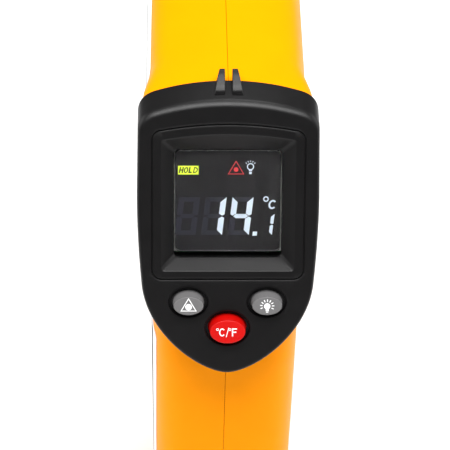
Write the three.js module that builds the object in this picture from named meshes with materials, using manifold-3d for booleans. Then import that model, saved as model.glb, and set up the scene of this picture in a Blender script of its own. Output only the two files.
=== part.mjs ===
// A pistol-shaped infrared thermometer, in millimetres: +Y is the aiming direction,
// +X the user's right, +Z up, and the origin is the centre of the handle's flat base.
import * as THREE from "three";
import { mergeVertices } from "three/addons/utils/BufferGeometryUtils.js";
import Module from "manifold-3d";

const wasm = await Module();
wasm.setup();

// ---- Driving dimensions ----------------------------------------------------------------
const GAP = 0.3; // between neighbouring pieces
const HALF_SEAM = 0.15; // half of the parting gap between the housing halves
const WALL = 2;

const FACE_TILT = THREE.MathUtils.degToRad(35); // the display face leans away from the user
const FACE_TIP = new THREE.Vector3(0, -20, 97);
const FACE_BOTTOM = -1.75; // the lower tip, along the face
const FACE_TOP = 64.5;
const FACE_MIDDLE = 32;
const BEZEL_HALF_WIDTH = 21.5;
const BEZEL_DEPTH = 7.6; // along Y, from the face to the housing
const BEZEL_EDGE = 1.2; // radius of the edge round the face
const BEZEL_WALL = 2.2;
const COLLAR_INSET = 1; // the housing is this much smaller than the bezel all round

const NOSE = { y: 71, halfWidth: 19.4, bottom: 104, top: 147, capFront: 77 };
const HANDLE = [
  // height, half width, rear y, front y
  { z: 0, half: 16.1, rear: -23, front: 23.2 },
  { z: 1, half: 17.1, rear: -24, front: 24.2 },
  { z: 25, half: 17.5, rear: -22.2, front: 25 },
  { z: 55, half: 17.9, rear: -18, front: 27 },
  { z: 80, half: 18.1, rear: -14, front: 29.4 },
  { z: 96, half: 17.9, rear: -11.8, front: 31 },
  { z: 112, half: 17.2, rear: -8, front: 34 },
];

const WINDOW = { centre: 40.2, glassHalfWidth: 12.45, glassBottom: 28, glassTop: 52.4 };
const LASER_KEY = { a: -9.3, b: 16.35, half: [3.7, 2.6], hole: [4.65, 3.7] };
const LAMP_KEY = { a: 9.3, b: 16.35, half: [3.7, 2.6], hole: [4.65, 3.7] };
const UNIT_KEY = { a: 0, b: 9.95, half: [4.35, 3.2], hole: [5.3, 4.25] };
const KEY_LIP = 1.4; // the holes narrow at this depth, so that the keys' flanges are hidden
const KEY_RISE = 2.6; // above the face
const KEY_LEAN = 0.2; // the keys' tops sit this much lower on the face than their feet

const OPTICS = { z: 121, bore: 8, lensY: 65 };
const LASER = { z: 138.4, radius: 3 };
const TRIGGER_PIVOT = { y: 36, z: 107.5 };
const TRIGGER_HALF_WIDTH = 7;
const SPRING = { z: 80, radius: 2.6, wire: 0.3, back: 15 };
const SWITCH = { z: 93, front: 20, back: 13.5, plungerTip: 26.7 };
const DOOR = { half: 11.8, bottom: 9, top: 67, back: 12, knuckle: 3.9 };
const DOOR_PIN = { y: 20.5, z: 9, radius: 1 };
const CELL = { radius: 5.25, length: 43.5, nub: 1, x: 5.7, y: 12.4 };
const TONGUE = { reach: 1.6, half: 8 }; // the left half's base reaches over the seam
const POSTS = [
  // the four screw posts, as places in the side view
  [62, 108.4],
  [31, 138],
  [-3, 74],
  [-13, 15],
];

const X = new THREE.Vector3(1, 0, 0);
const Y = new THREE.Vector3(0, 1, 0);
const Z = new THREE.Vector3(0, 0, 1);
const TAN_TILT = Math.tan(FACE_TILT);
const FACE_UP = new THREE.Vector3(0, Math.sin(FACE_TILT), Math.cos(FACE_TILT));
const FACE_OUT = new THREE.Vector3(0, -Math.cos(FACE_TILT), Math.sin(FACE_TILT));
// Face frame: a to the right, b up the face from its lower tip, h out of it.
const FACE = new THREE.Matrix4().makeBasis(X, FACE_UP, FACE_OUT).setPosition(FACE_TIP);
// Side frame: a shape's x and y are Y and Z, and it is extruded along X.
const SIDE = new THREE.Matrix4().makeBasis(Y, Z, X);

// ---- Solids ----------------------------------------------------------------------------
function solid(geometry) {
  const bare = new THREE.BufferGeometry();
  bare.setAttribute("position", geometry.getAttribute("position"));
  if (geometry.index) bare.setIndex(geometry.index);
  const merged = mergeVertices(bare, 1e-4);
  const vertProperties = merged.attributes.position.array;
  const triVerts = new Uint32Array(merged.index.array);
  const make = () =>
    new wasm.Manifold(new wasm.Mesh({ numProp: 3, vertProperties, triVerts }));
  const made = make();
  if (made.volume() > 0) return made;
  for (let i = 0; i < triVerts.length; i += 3) {
    [triVerts[i + 1], triVerts[i + 2]] = [triVerts[i + 2], triVerts[i + 1]];
  }
  return make();
}

// A closed skin through rings of equally many points.
function loft(rings) {
  const count = rings[0].length;
  const points = rings.flat();
  const index = [];
  for (let r = 0; r < rings.length - 1; r++) {
    for (let i = 0; i < count; i++) {
      const a = r * count + i;
      const b = r * count + ((i + 1) % count);
      index.push(a, b, b + count, a, b + count, a + count);
    }
  }
  const cap = (ring, start, turned) => {
    const middle = new THREE.Vector3();
    ring.forEach((p) => middle.addScaledVector(p, 1 / count));
    points.push(middle);
    for (let i = 0; i < count; i++) {
      const pair = [start + i, start + ((i + 1) % count)];
      if (turned) pair.reverse();
      index.push(points.length - 1, ...pair);
    }
  };
  cap(rings[0], 0, true);
  cap(rings.at(-1), (rings.length - 1) * count, false);
  const geometry = new THREE.BufferGeometry().setFromPoints(points);
  geometry.setIndex(index);
  return solid(geometry);
}

function box([x0, x1], [y0, y1], [z0, z1]) {
  const geometry = new THREE.BoxGeometry(x1 - x0, y1 - y0, z1 - z0);
  geometry.translate((x0 + x1) / 2, (y0 + y1) / 2, (z0 + z1) / 2);
  return solid(geometry);
}

function rodX(radius, [x0, x1], y, z, sides = 16) {
  const geometry = new THREE.CylinderGeometry(radius, radius, x1 - x0, sides);
  geometry.rotateZ(Math.PI / 2);
  return solid(geometry.translate((x0 + x1) / 2, y, z));
}

function rodY(radius, [y0, y1], x, z, sides = 24, frontRadius = radius) {
  const geometry = new THREE.CylinderGeometry(frontRadius, radius, y1 - y0, sides);
  return solid(geometry.translate(x, (y0 + y1) / 2, z));
}

function rodZ(radius, [z0, z1], x, y, sides = 18) {
  const geometry = new THREE.CylinderGeometry(radius, radius, z1 - z0, sides);
  geometry.rotateX(Math.PI / 2);
  return solid(geometry.translate(x, y, (z0 + z1) / 2));
}

function extrude(shape, [from, to], frame = new THREE.Matrix4(), curveSegments = 8) {
  const options = { depth: to - from, bevelEnabled: false, curveSegments };
  const geometry = new THREE.ExtrudeGeometry(shape, options).translate(0, 0, from);
  return solid(geometry.applyMatrix4(frame));
}

function wire(curve, radius, steps, sides = 6) {
  const section = new THREE.Shape().absarc(0, 0, radius, 0, 2 * Math.PI);
  const options = { extrudePath: curve, steps, bevelEnabled: false, curveSegments: sides / 2 };
  return solid(new THREE.ExtrudeGeometry(section, options));
}

// A coil spring round an axis: place(x, y, h) gives the point at height h on that axis.
class Coil extends THREE.Curve {
  constructor(radius, endRadius, height, turns, place) {
    super();
    Object.assign(this, { radius, endRadius, height, turns, place });
  }
  getPoint(t) {
    const r = THREE.MathUtils.lerp(this.radius, this.endRadius, t);
    const angle = 2 * Math.PI * this.turns * t;
    return this.place(r * Math.cos(angle), r * Math.sin(angle), this.height * t);
  }
}

function union(...solids) {
  return solids.reduce((all, one) => all.add(one));
}

function subtract(from, ...solids) {
  return solids.reduce((left, one) => left.subtract(one), from);
}

// ---- Outlines --------------------------------------------------------------------------
// The face: a long shield, widest in its upper half, crowned at the top.
function shieldShape() {
  const w = BEZEL_HALF_WIDTH;
  const side = (s, shape) => {
    shape.bezierCurveTo(s * 6.2, FACE_BOTTOM, s * 18.6, 7, s * 20.35, 19);
    shape.bezierCurveTo(s * 20.9, 24.5, s * w, 33, s * w, 41);
    shape.lineTo(s * (w - 0.2), 57.2);
    shape.quadraticCurveTo(s * (w - 0.3), 60.9, s * (w - 4.4), 62.1);
    shape.quadraticCurveTo(s * 9, FACE_TOP, 0, FACE_TOP);
  };
  const right = new THREE.Shape();
  right.moveTo(0, FACE_BOTTOM);
  side(1, right);
  return right;
}

const SHIELD_HALF = shieldShape().getPoints(5);

// Points round the face's outline, moved inwards by inset.
function shieldPoints(inset) {
  const moved = SHIELD_HALF.map((p, i) => {
    const before = SHIELD_HALF[i - 1] ?? new THREE.Vector2(-SHIELD_HALF[1].x, p.y);
    const after = SHIELD_HALF[i + 1] ?? new THREE.Vector2(-SHIELD_HALF.at(-2).x, p.y);
    const along = after.clone().sub(before).normalize();
    return new THREE.Vector2(p.x - inset * along.y, p.y + inset * along.x);
  });
  moved[0].x = 0;
  moved.at(-1).x = 0;
  const mirrored = moved.slice(1, -1).reverse();
  return [...moved, ...mirrored.map((p) => new THREE.Vector2(-p.x, p.y))];
}

// A ring of the face's outline, sunk square to the face: the walls run along Y.
function shieldRing(inset, depth) {
  return shieldPoints(inset).map(
    (p) => new THREE.Vector3(p.x, p.y + depth * TAN_TILT, -depth),
  );
}

function windowShape(halfWidth, bottom, top, sag, r) {
  const shape = new THREE.Shape();
  const low = bottom + r;
  const high = top - sag - r;
  shape.moveTo(r - halfWidth, bottom);
  shape.lineTo(halfWidth - r, bottom);
  shape.absarc(halfWidth - r, low, r, -Math.PI / 2, 0);
  shape.lineTo(halfWidth, high);
  shape.absarc(halfWidth - r, high, r, 0, Math.PI / 2);
  shape.quadraticCurveTo(0, top + sag, r - halfWidth, top - sag);
  shape.absarc(r - halfWidth, high, r, Math.PI / 2, Math.PI);
  shape.lineTo(-halfWidth, low);
  shape.absarc(r - halfWidth, low, r, Math.PI, 1.5 * Math.PI);
  return shape;
}

function windowRing(shape, depth) {
  const points = shape.getPoints(3);
  points.pop();
  return points.map((p) => new THREE.Vector3(p.x, p.y, -depth));
}

function ellipse(a, b, [halfA, halfB]) {
  return new THREE.Shape().absellipse(a, b, halfA, halfB, 0, 2 * Math.PI);
}

// A rounded box section, centred on its sides: squareness 2 is an ellipse, more is squarer.
function squarish(angle, squareness) {
  const power = 2 / squareness;
  const round = (v) => Math.sign(v) * Math.abs(v) ** power;
  return [round(Math.cos(angle)), round(Math.sin(angle))];
}

// ---- Housing ---------------------------------------------------------------------------
// The nose's section, each point in the direction of the shield's point as seen from behind.
function nosePoints(inset) {
  const middle = (NOSE.bottom + NOSE.top) / 2;
  const halfHeight = (NOSE.top - NOSE.bottom) / 2 - inset;
  const halfWidth = NOSE.halfWidth - inset;
  const crown = 2;
  return shieldPoints(0).map((p) => {
    const rise = (p.y - FACE_MIDDLE) * Math.cos(FACE_TILT);
    const squareness = rise > 0 ? 5 : 3.6;
    const reach =
      (Math.abs(p.x / halfWidth) ** squareness + Math.abs(rise / halfHeight) ** squareness) **
      (-1 / squareness);
    const [x, z] = [p.x * reach, rise * reach];
    const drop = rise > 0 ? (crown * (x / halfWidth) ** 2 * z) / halfHeight : 0;
    return [x, middle + z - drop];
  });
}

// How far a point's x has gone from the collar's to the nose's: the upper sides keep the
// collar's width at first, and then draw in.
function slimming(z, y, t) {
  const high = THREE.MathUtils.clamp((z - 112) / 20, 0, 1);
  const low = 1 - (1 - t) ** 3;
  return THREE.MathUtils.lerp(low, THREE.MathUtils.smoothstep(y, 23, 37), high);
}

function headRings(inset, rearDepth, noseY) {
  const rear = shieldRing(COLLAR_INSET + inset, rearDepth).map((p) =>
    p.applyMatrix4(FACE),
  );
  const nose = nosePoints(inset);
  const stations = [0, 0.11, 0.22, 0.33, 0.48, 1];
  return stations.map((t) =>
    rear.map((p, i) => {
      const [x, z] = nose[i];
      const y = THREE.MathUtils.lerp(p.y, noseY, t);
      return new THREE.Vector3(
        THREE.MathUtils.lerp(p.x, x, slimming(p.z, y, t)),
        y,
        THREE.MathUtils.lerp(p.z, z, t),
      );
    }),
  );
}

function handleSolid(inset, floor) {
  const count = 32;
  const rings = HANDLE.map(({ z, half, rear, front }, k) => {
    const middle = (rear + front) / 2;
    const reach = (front - rear) / 2 - inset;
    return Array.from({ length: count }, (_, i) => {
      const [x, y] = squarish((2 * Math.PI * i) / count, 4.4);
      return new THREE.Vector3(x * (half - inset), middle + reach * y, k ? z : floor);
    });
  });
  if (floor > HANDLE[1].z) rings.splice(1, 1);
  return loft(rings);
}

const COLLAR_DEPTH = (BEZEL_DEPTH + GAP) * Math.cos(FACE_TILT);

function outerBody() {
  const head = loft(headRings(0, COLLAR_DEPTH, NOSE.y));
  const handle = handleSolid(0, 0);
  const bezelRoom = loft([shieldRing(-1, -20), shieldRing(-1, COLLAR_DEPTH)].map(
    (ring) => ring.map((p) => p.applyMatrix4(FACE)),
  ));
  return union(head, handle.subtract(bezelRoom));
}

// The space inside the walls at a given depth below the outer surface.
function innerBody(inset) {
  const head = loft(headRings(inset, COLLAR_DEPTH - 0.8, NOSE.y + 1));
  return union(head, handleSolid(inset, inset));
}

function acrossRibs(room) {
  const springStop = box([-16, 16], [SPRING.back - 2.4, SPRING.back - GAP], [76.5, 83.5]);
  const opticsSaddle = subtract(
    box([-20, 20], [46, 48], [100, OPTICS.z]),
    rodY(OPTICS.bore + 1 + GAP, [45, 49], 0, OPTICS.z),
  );
  const laserSaddle = subtract(
    box([-8, 8], [56, 58], [LASER.z - 5, 150]),
    rodY(LASER.radius + GAP, [55, 59], 0, LASER.z),
  );
  return union(springStop, opticsSaddle, laserSaddle).intersect(room);
}

const POST_RADIUS = 2.9;
const SCREW = { shank: 1.1, head: 2.2, headHeight: 1.6, length: 16, seat: 11.5 };

function posts(room) {
  const bodies = POSTS.map(([y, z]) => rodX(POST_RADIUS, [-21, 21], y, z));
  const pinHolders = rodX(2.6, [-21, 21], TRIGGER_PIVOT.y, TRIGGER_PIVOT.z);
  const slotHalf = TRIGGER_HALF_WIDTH + 0.5;
  const between = box([-slotHalf, slotHalf], [25, 47], [99, 116]);
  return union(...bodies, pinHolders.subtract(between)).intersect(room);
}

function housingCuts() {
  const cuts = [
    box([-TRIGGER_HALF_WIDTH - 0.5, TRIGGER_HALF_WIDTH + 0.5], [18, 46.5], [70.9, 106.6]),
    box([-DOOR.half - GAP, DOOR.half + GAP], [DOOR.back, 40], [DOOR.bottom, DOOR.top + GAP]),
    box([-DOOR.half - GAP, DOOR.half + GAP], [DOOR_PIN.y, 30], [4.7, DOOR.bottom + 1]),
    rodX(DOOR.knuckle + 0.4, [-DOOR.half - GAP, DOOR.half + GAP], DOOR_PIN.y, DOOR_PIN.z),
    rodX(DOOR_PIN.radius + 0.06, [-13.7, 13.7], DOOR_PIN.y, DOOR_PIN.z),
    rodX(1.06, [-11.7, 11.7], TRIGGER_PIVOT.y, TRIGGER_PIVOT.z),
  ];
  for (const [y, z] of POSTS) {
    cuts.push(rodX(SCREW.shank + 0.1, [-SCREW.length + SCREW.seat - 2, 21], y, z, 12));
    cuts.push(rodX(SCREW.head + 0.2, [SCREW.seat - GAP, 25], y, z, 16));
  }
  return cuts;
}

// ---- Materials -------------------------------------------------------------------------
const finish = (color, roughness, metalness = 0) => ({ color, roughness, metalness });
const YELLOW = finish(0xffa400, 0.45);
const BLACK = finish(0x201f20, 0.55);
const GREY = finish(0x868484, 0.5);
const RED = finish(0xd00500, 0.4);
const RUBBER = finish(0x2b2b2b, 0.9);
const STEEL = finish(0xb9bcc0, 0.35, 1);
const BRASS = finish(0xc9a24a, 0.4, 1);
const BOARD = finish(0x1f6a3c, 0.6);
const PAPER = finish(0xeeeeea, 0.7);
const CLEAR = finish(0x9fb4c4, 0.05);
const DARK_GLASS = finish(0x323233, 0.15);
const LENS = finish(0x77736a, 0.2);
const CELL_WRAP = finish(0x2d4f8e, 0.4);

const thermometer = new THREE.Group();
const face = new THREE.Group();
face.applyMatrix4(FACE);
thermometer.add(face);

function add(name, made, look, group = thermometer) {
  const { vertProperties, triVerts } = made.getMesh();
  const geometry = new THREE.BufferGeometry();
  geometry.setAttribute("position", new THREE.BufferAttribute(vertProperties, 3));
  geometry.setIndex(new THREE.BufferAttribute(triVerts, 1));
  const mesh = new THREE.Mesh(geometry, new THREE.MeshStandardMaterial(look));
  mesh.name = name;
  group.add(mesh);
}

// ---- Housing halves and labels ---------------------------------------------------------
function buildHousing() {
  const shell = outerBody().subtract(innerBody(WALL));
  const midWall = innerBody(WALL / 2);
  const filled = union(shell, posts(midWall), acrossRibs(midWall));
  const housing = subtract(filled, ...housingCuts());
  const left = box([-30, -HALF_SEAM], [-60, 100], [-10, 180]);
  const right = box([HALF_SEAM, 30], [-60, 100], [-10, 180]);
  const tongue = (spare) =>
    box(
      [-2, TONGUE.reach + spare],
      [-TONGUE.half - spare, TONGUE.half + spare],
      [-10, WALL + 0.05 + spare],
    );
  add("left_housing", housing.intersect(left.add(tongue(0))), YELLOW);
  add("right_housing", housing.intersect(right.subtract(tongue(GAP))), YELLOW);
}

// Printed labels on the left side: thin skins that follow the housing.
function buildLabels() {
  const patch = (...corners) => {
    const shape = new THREE.Shape(corners.map(([y, z]) => new THREE.Vector2(y, z)));
    return extrude(shape, [-30, -5], SIDE);
  };
  const far = loft(headRings(-0.45, COLLAR_DEPTH, NOSE.y));
  const near = loft(headRings(-0.15, COLLAR_DEPTH - 1, NOSE.y + 1));
  const barrelPatch = patch([30, 114], [66, 114], [66, 141.5], [26, 141.5]);
  add("barrel_label", far.subtract(near).intersect(barrelPatch), PAPER);
  const handleSkin = handleSolid(-0.45, 0).subtract(handleSolid(-0.15, -1));
  const handlePatch = patch([-14.8, 18], [8, 18], [16, 92], [-6.3, 92]);
  add("handle_label", handleSkin.intersect(handlePatch), PAPER);
}

// ---- Display end -----------------------------------------------------------------------
const RECESS = { depth: 3, lip: 4.1 };

function sightFin(sign) {
  // a low wedge, upright on its inner side, that narrows as it rises and overhangs the housing
  const section = (y, outerFoot, outerTop, top) => {
    const foot = 146.6;
    const inner = 0.87;
    return [
      new THREE.Vector3(sign * inner, y, foot),
      new THREE.Vector3(sign * outerFoot, y, foot),
      new THREE.Vector3(sign * outerTop, y, top),
      new THREE.Vector3(sign * inner, y, top),
    ];
  };
  return loft([
    section(19.3, 3.6, 3.4, 149.9),
    section(20.1, 3.6, 3.3, 151),
    section(25, 2.9, 2.3, 152.9),
    section(25.9, 2.6, 2.1, 152.4),
  ]);
}

function buildBezel() {
  const edgeSteps = 4;
  const rings = [shieldRing(0, COLLAR_DEPTH - GAP)];
  for (let k = 0; k <= edgeSteps; k++) {
    const angle = (Math.PI / 2) * (k / edgeSteps);
    const inset = BEZEL_EDGE * (1 - Math.cos(angle));
    rings.push(shieldRing(inset, BEZEL_EDGE * (1 - Math.sin(angle))));
  }
  const cavity = loft([shieldRing(BEZEL_WALL, BEZEL_WALL), shieldRing(BEZEL_WALL, 12)]);
  const recessRim = windowShape(15.9, 24, 57, 1.2, 1);
  const recessFoot = windowShape(12.75, 26.7, 52.8, 0.05, 1.2);
  const block = extrude(windowShape(17.9, 22, 58.6, 1.2, 1.5), [-RECESS.lip, 1]);
  const funnel = loft([windowRing(recessRim, -0.01), windowRing(recessFoot, RECESS.depth)]);
  const opening = extrude(recessFoot, [-10, -RECESS.depth + 0.1], undefined, 3);
  const groove = subtract(
    extrude(windowShape(18.2, 21.7, 59.7, 1.4, 2.6), [-0.5, 1]),
    extrude(windowShape(17.7, 22.2, 59.2, 1.4, 2.1), [-1, 2]),
  );
  const keyHoles = [LASER_KEY, LAMP_KEY, UNIT_KEY].flatMap(({ a, b, half, hole }) => [
    extrude(ellipse(a, b, hole), [-KEY_LIP, 3], undefined, 12),
    extrude(ellipse(a, b, half.map((v) => v + GAP)), [-6, 0], undefined, 12),
  ]);
  const shell = loft(rings).subtract(cavity.subtract(block));
  const bezel = subtract(shell, funnel, opening, groove, ...keyHoles);
  const placed = bezel.transform(FACE.elements);
  const overhang = loft(
    [shieldRing(COLLAR_INSET - GAP, COLLAR_DEPTH - 1), shieldRing(COLLAR_INSET - GAP, 30)].map(
      (ring) => ring.map((p) => p.applyMatrix4(FACE)),
    ),
  );
  const fins = union(sightFin(-1), sightFin(1));
  add("display_bezel", placed.add(fins.subtract(overhang).subtract(
    cavity.transform(FACE.elements),
  )), BLACK);
}

function buildDisplay() {
  const { centre, glassHalfWidth: w, glassBottom, glassTop } = WINDOW;
  const pane = windowShape(w, glassBottom, glassTop, 0.05, 1.2);
  add("display_window", extrude(pane, [-4.3, -3.3], undefined, 3), CLEAR, face);
  const glass = windowShape(13.4, centre - 13.4, centre + 13.4, 0.05, 0.4);
  add("lcd_glass", extrude(glass, [-6.6, -4.6], undefined, 2), DARK_GLASS, face);
  const frameOuter = windowShape(15.4, centre - 15.4, centre + 15.4, 0.05, 1.5);
  const frameInner = windowShape(13.7, centre - 13.7, centre + 13.7, 0.05, 0.6);
  const frame = extrude(frameOuter, [-8.8, -4.6], undefined, 3);
  const holder = frame.subtract(extrude(frameInner, [-9, -4], undefined, 2));
  add("lcd_holder", holder, BLACK, face);
  const lamp = windowShape(13, centre - 13, centre + 13, 0.05, 0.4);
  add("backlight_panel", extrude(lamp, [-8.4, -6.9], undefined, 2), PAPER, face);
}

const BOARD_TOP = -9.2;
const BOARD_BACK = -10.8;

function boardShape() {
  const shape = new THREE.Shape();
  shape.moveTo(-6, 7.6);
  shape.lineTo(6, 7.6);
  shape.lineTo(12.4, 13);
  shape.lineTo(13.6, 20);
  shape.lineTo(16.4, 30);
  shape.lineTo(16.4, 60);
  shape.lineTo(-16.4, 60);
  shape.lineTo(-16.4, 30);
  shape.lineTo(-13.6, 20);
  shape.lineTo(-12.4, 13);
  return shape;
}

function buildMainBoard() {
  const screwHoles = [-1, 1].map((s) =>
    extrude(ellipse(s * 14, 58, [1, 1]), [-12, -8], undefined, 6),
  );
  const board = extrude(boardShape(), [BOARD_BACK, BOARD_TOP]);
  add("main_board", subtract(board, ...screwHoles), BOARD, face);
  const chip = windowShape(3.5, 34, 41, 0.01, 0.1);
  add("controller_chip", extrude(chip, [-12.1, BOARD_BACK - 0.05], undefined, 1), BLACK, face);
  const buzzer = ellipse(8, 50, [4.5, 4.5]);
  add("buzzer", extrude(buzzer, [-13.9, BOARD_BACK - 0.05], undefined, 12), BLACK, face);
  for (const [s, name] of [[-1, "board_screw_left"], [1, "board_screw_right"]]) {
    const shank = extrude(ellipse(s * 14, 58, [0.8, 0.8]), [-11.1, -7.5], undefined, 6);
    const head = extrude(ellipse(s * 14, 58, [1.6, 1.6]), [-12.1, -10.95], undefined, 8);
    add(name, shank.add(head), STEEL, face);
  }
}

function buildKeys() {
  const keys = [
    ["laser", LASER_KEY, GREY],
    ["backlight", LAMP_KEY, GREY],
    ["unit", UNIT_KEY, RED],
  ];
  const membraneShape = new THREE.Shape();
  membraneShape.moveTo(-2.6, 8.3);
  membraneShape.lineTo(2.6, 8.3);
  membraneShape.lineTo(11.8, 14.2);
  membraneShape.lineTo(11.8, 20.6);
  membraneShape.lineTo(-11.8, 20.6);
  membraneShape.lineTo(-11.8, 14.2);
  let membrane = extrude(membraneShape, [-8.8, -8]);
  for (const [name, { a, b, half, hole }, look] of keys) {
    const crownRings = [
      // height, how far in at the sides, how far in above and below
      [-2.6, 0, 0],
      [0.2, 0, 0],
      [KEY_RISE - 0.2, 0.15, 0.35],
      [KEY_RISE, 0.3, 0.5],
    ].map(([h, side, ends]) =>
      ellipse(a, b - KEY_LEAN * (ends / 0.5), [half[0] - side, half[1] - ends])
        .getPoints(14)
        .slice(0, -1)
        .map((p) => new THREE.Vector3(p.x, p.y, h)),
    );
    const flange = ellipse(a, b, hole.map((v) => v + 0.45));
    const key = loft(crownRings).add(extrude(flange, [-3.5, -2.5], undefined, 14));
    add(name + "_button", key, look, face);
    const pill = extrude(ellipse(a, b, [1.5, 1.5]), [-8, -3.8], undefined, 8);
    add(name + "_pill", pill, RUBBER, face);
    membrane = membrane.subtract(extrude(ellipse(a, b, [1.9, 1.9]), [-9, -7], undefined, 8));
  }
  add("keypad_membrane", membrane, RUBBER, face);
}

// ---- Optics and laser ------------------------------------------------------------------
function noseRing(inset, y) {
  return nosePoints(inset).map(([x, z]) => new THREE.Vector3(x, y, z));
}

function buildNose() {
  const back = NOSE.y + GAP;
  const cap = loft([
    noseRing(0, back),
    noseRing(0.1, NOSE.capFront - 1.4),
    noseRing(0.5, NOSE.capFront - 0.4),
    noseRing(1.3, NOSE.capFront),
  ]);
  const spigot = loft([noseRing(WALL + GAP, NOSE.y - 3), noseRing(WALL + GAP, back + 1)]);
  const hollow = loft([noseRing(WALL + 1.8, NOSE.y - 4), noseRing(WALL + 1.8, NOSE.y)]);
  const made = subtract(
    cap.add(spigot),
    hollow,
    rodY(OPTICS.bore + 1.4, [60, 80], 0, OPTICS.z),
    rodY(OPTICS.bore + 1.4, [NOSE.capFront - 3, NOSE.capFront + 0.6], 0, OPTICS.z, 24, 13),
    rodY(1.5, [70, 80], 0, LASER.z, 20),
    rodY(2.9, [70, 74.4], 0, LASER.z, 20),
  );
  add("nose_cap", made, BLACK);
}

function ring(outer, inner, [y0, y1], z) {
  return rodY(outer, [y0, y1], 0, z).subtract(rodY(inner, [y0 - 1, y1 + 1], 0, z));
}

// A lens, thick in the middle, round the optical axis.
function lensSolid(radius, rim, sag) {
  const profile = [new THREE.Vector2(0, -rim - sag)];
  const steps = 3;
  for (let k = 1; k <= steps; k++) {
    const t = k / steps;
    profile.push(new THREE.Vector2(radius * t, -rim - sag * (1 - t * t)));
  }
  for (let k = steps; k >= 0; k--) {
    const t = k / steps;
    profile.push(new THREE.Vector2(radius * t, rim + sag * (1 - t * t)));
  }
  const geometry = new THREE.LatheGeometry(profile, 24);
  return solid(geometry.translate(0, OPTICS.lensY, OPTICS.z));
}

function buildOptics() {
  const { z, bore, lensY } = OPTICS;
  const tube = subtract(
    rodY(bore + 1, [41, lensY + 1.4], 0, z),
    rodY(bore - 1, [40, lensY - 1.5], 0, z),
    rodY(bore + GAP / 2, [lensY - 1.5, lensY + 3], 0, z),
    rodY(5.2, [40, 44], 0, z),
  );
  add("optics_tube", tube, BLACK);
  add("ir_lens", lensSolid(bore, 0.6, 0.5), LENS);
  add("lens_seal", ring(bore, bore - 1.2, [lensY + 1.45, lensY + 2.2], z), RUBBER);
  add("lens_retainer", ring(bore + 1.1, bore - 1, [lensY + 2.5, lensY + 5.5], z), BLACK);
  const can = rodY(4.1, [38.4, 42.6], 0, z, 24).add(rodY(4.7, [38.4, 39.2], 0, z, 24));
  add("ir_sensor", can, STEEL);
  const sensorBoard = box([-9, 9], [36.6, 38.1], [z - 8, z + 8]);
  add("sensor_board", sensorBoard, BOARD);
  const laser = rodY(LASER.radius, [54, 66], 0, LASER.z, 24);
  add("laser_module", laser.add(rodY(1.6, [65.9, 68], 0, LASER.z, 20)), BRASS);
  add("laser_window", rodY(2.6, [73, 74.1], 0, LASER.z, 20), CLEAR);
}

// ---- Trigger ---------------------------------------------------------------------------
function buildTrigger() {
  const { y, z } = TRIGGER_PIVOT;
  const shape = new THREE.Shape();
  shape.moveTo(32.4, 108.6);
  shape.bezierCurveTo(32.8, 112.6, 39.2, 112.6, 39.8, 108);
  shape.lineTo(43.4, 102);
  shape.bezierCurveTo(38.2, 93.5, 37, 84, 41.8, 74);
  shape.quadraticCurveTo(41.4, 71.5, 38.6, 71.5);
  shape.lineTo(27.6, 72.6);
  shape.lineTo(27, 99);
  const body = extrude(shape, [-TRIGGER_HALF_WIDTH, TRIGGER_HALF_WIDTH], SIDE, 10);
  const trigger = body.subtract(rodX(1.06, [-10, 10], y, z));
  add("trigger", trigger, BLACK);
  add("trigger_pin", rodX(1, [-11.4, 11.4], y, z), STEEL);

  const springFront = 26.7;
  const place = (across, up, along) =>
    new THREE.Vector3(across, SPRING.back + SPRING.wire + along, SPRING.z + up);
  const length = springFront - SPRING.back - 2 * SPRING.wire;
  const coil = new Coil(SPRING.radius, SPRING.radius, length, 6, place);
  add("trigger_spring", wire(coil, SPRING.wire, 54), STEEL);
}

function buildSwitch() {
  const { front, back, z, plungerTip } = SWITCH;
  const body = box([-3.2, 3.2], [back, front], [z - 5, z + 5]);
  const bore = rodY(1.3, [front - 3.6, front + 1], 0, z, 16);
  add("trigger_switch", body.subtract(bore), BLACK);
  add("switch_plunger", rodY(1.1, [front - 1, plungerTip], 0, z, 16), RED);
  add("trigger_board", box([-8, 8], [back - 1.9, back - GAP], [z - 7, z + 7]), BOARD);
}

// ---- Battery compartment ---------------------------------------------------------------
function buildDoor() {
  const { half, bottom, top, back, knuckle } = DOOR;
  const outer = outerBody();
  const panelRoom = box([-half, half], [back + GAP, 40], [bottom, top]);
  const inner = handleSolid(WALL, -5);
  const panel = outer.intersect(panelRoom).subtract(inner);
  const hinge = rodX(knuckle, [-half, half], DOOR_PIN.y, DOOR_PIN.z).intersect(outer);
  const latch = box([-4, 4], [24.6, 27], [top - 4, top - 0.4]);
  const ribs = [-1, 1].map((s) =>
    box([s * 11 - 0.5, s * 11 + 0.5], [21, 26], [bottom + 4, top - 2]).intersect(outer),
  );
  const bore = rodX(DOOR_PIN.radius + 0.06, [-20, 20], DOOR_PIN.y, DOOR_PIN.z);
  add("battery_door", union(panel, hinge, latch, ...ribs).subtract(bore), YELLOW);
  add("door_pin", rodX(DOOR_PIN.radius, [-13.5, 13.5], DOOR_PIN.y, DOOR_PIN.z), STEEL);
}

const CRADLE = { half: 11.6, back: 5, front: 14.5, bottom: 14.2, top: 67 };

function buildCradle() {
  const { half, back, front, bottom, top } = CRADLE;
  const grooves = [-1, 1].map((s) =>
    rodZ(CELL.radius + GAP, [bottom + 1.4, top - 1.4], s * CELL.x, CELL.y),
  );
  const mouth = [-1, 1].map((s) =>
    box(
      [s * CELL.x - CELL.radius - GAP, s * CELL.x + CELL.radius + GAP],
      [CELL.y, front + 1],
      [bottom + 1.4, top - 1.4],
    ),
  );
  const plateSlots = [bottom + 1.4, top - 2.5].map((low) =>
    box([-10.6, 10.6], [CELL.y - 5, front + 1], [low, low + 1.1]),
  );
  const tray = box([-half, half], [back, front], [bottom, top]);
  add("battery_cradle", subtract(tray, ...grooves, ...mouth, ...plateSlots), BLACK);
}

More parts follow.
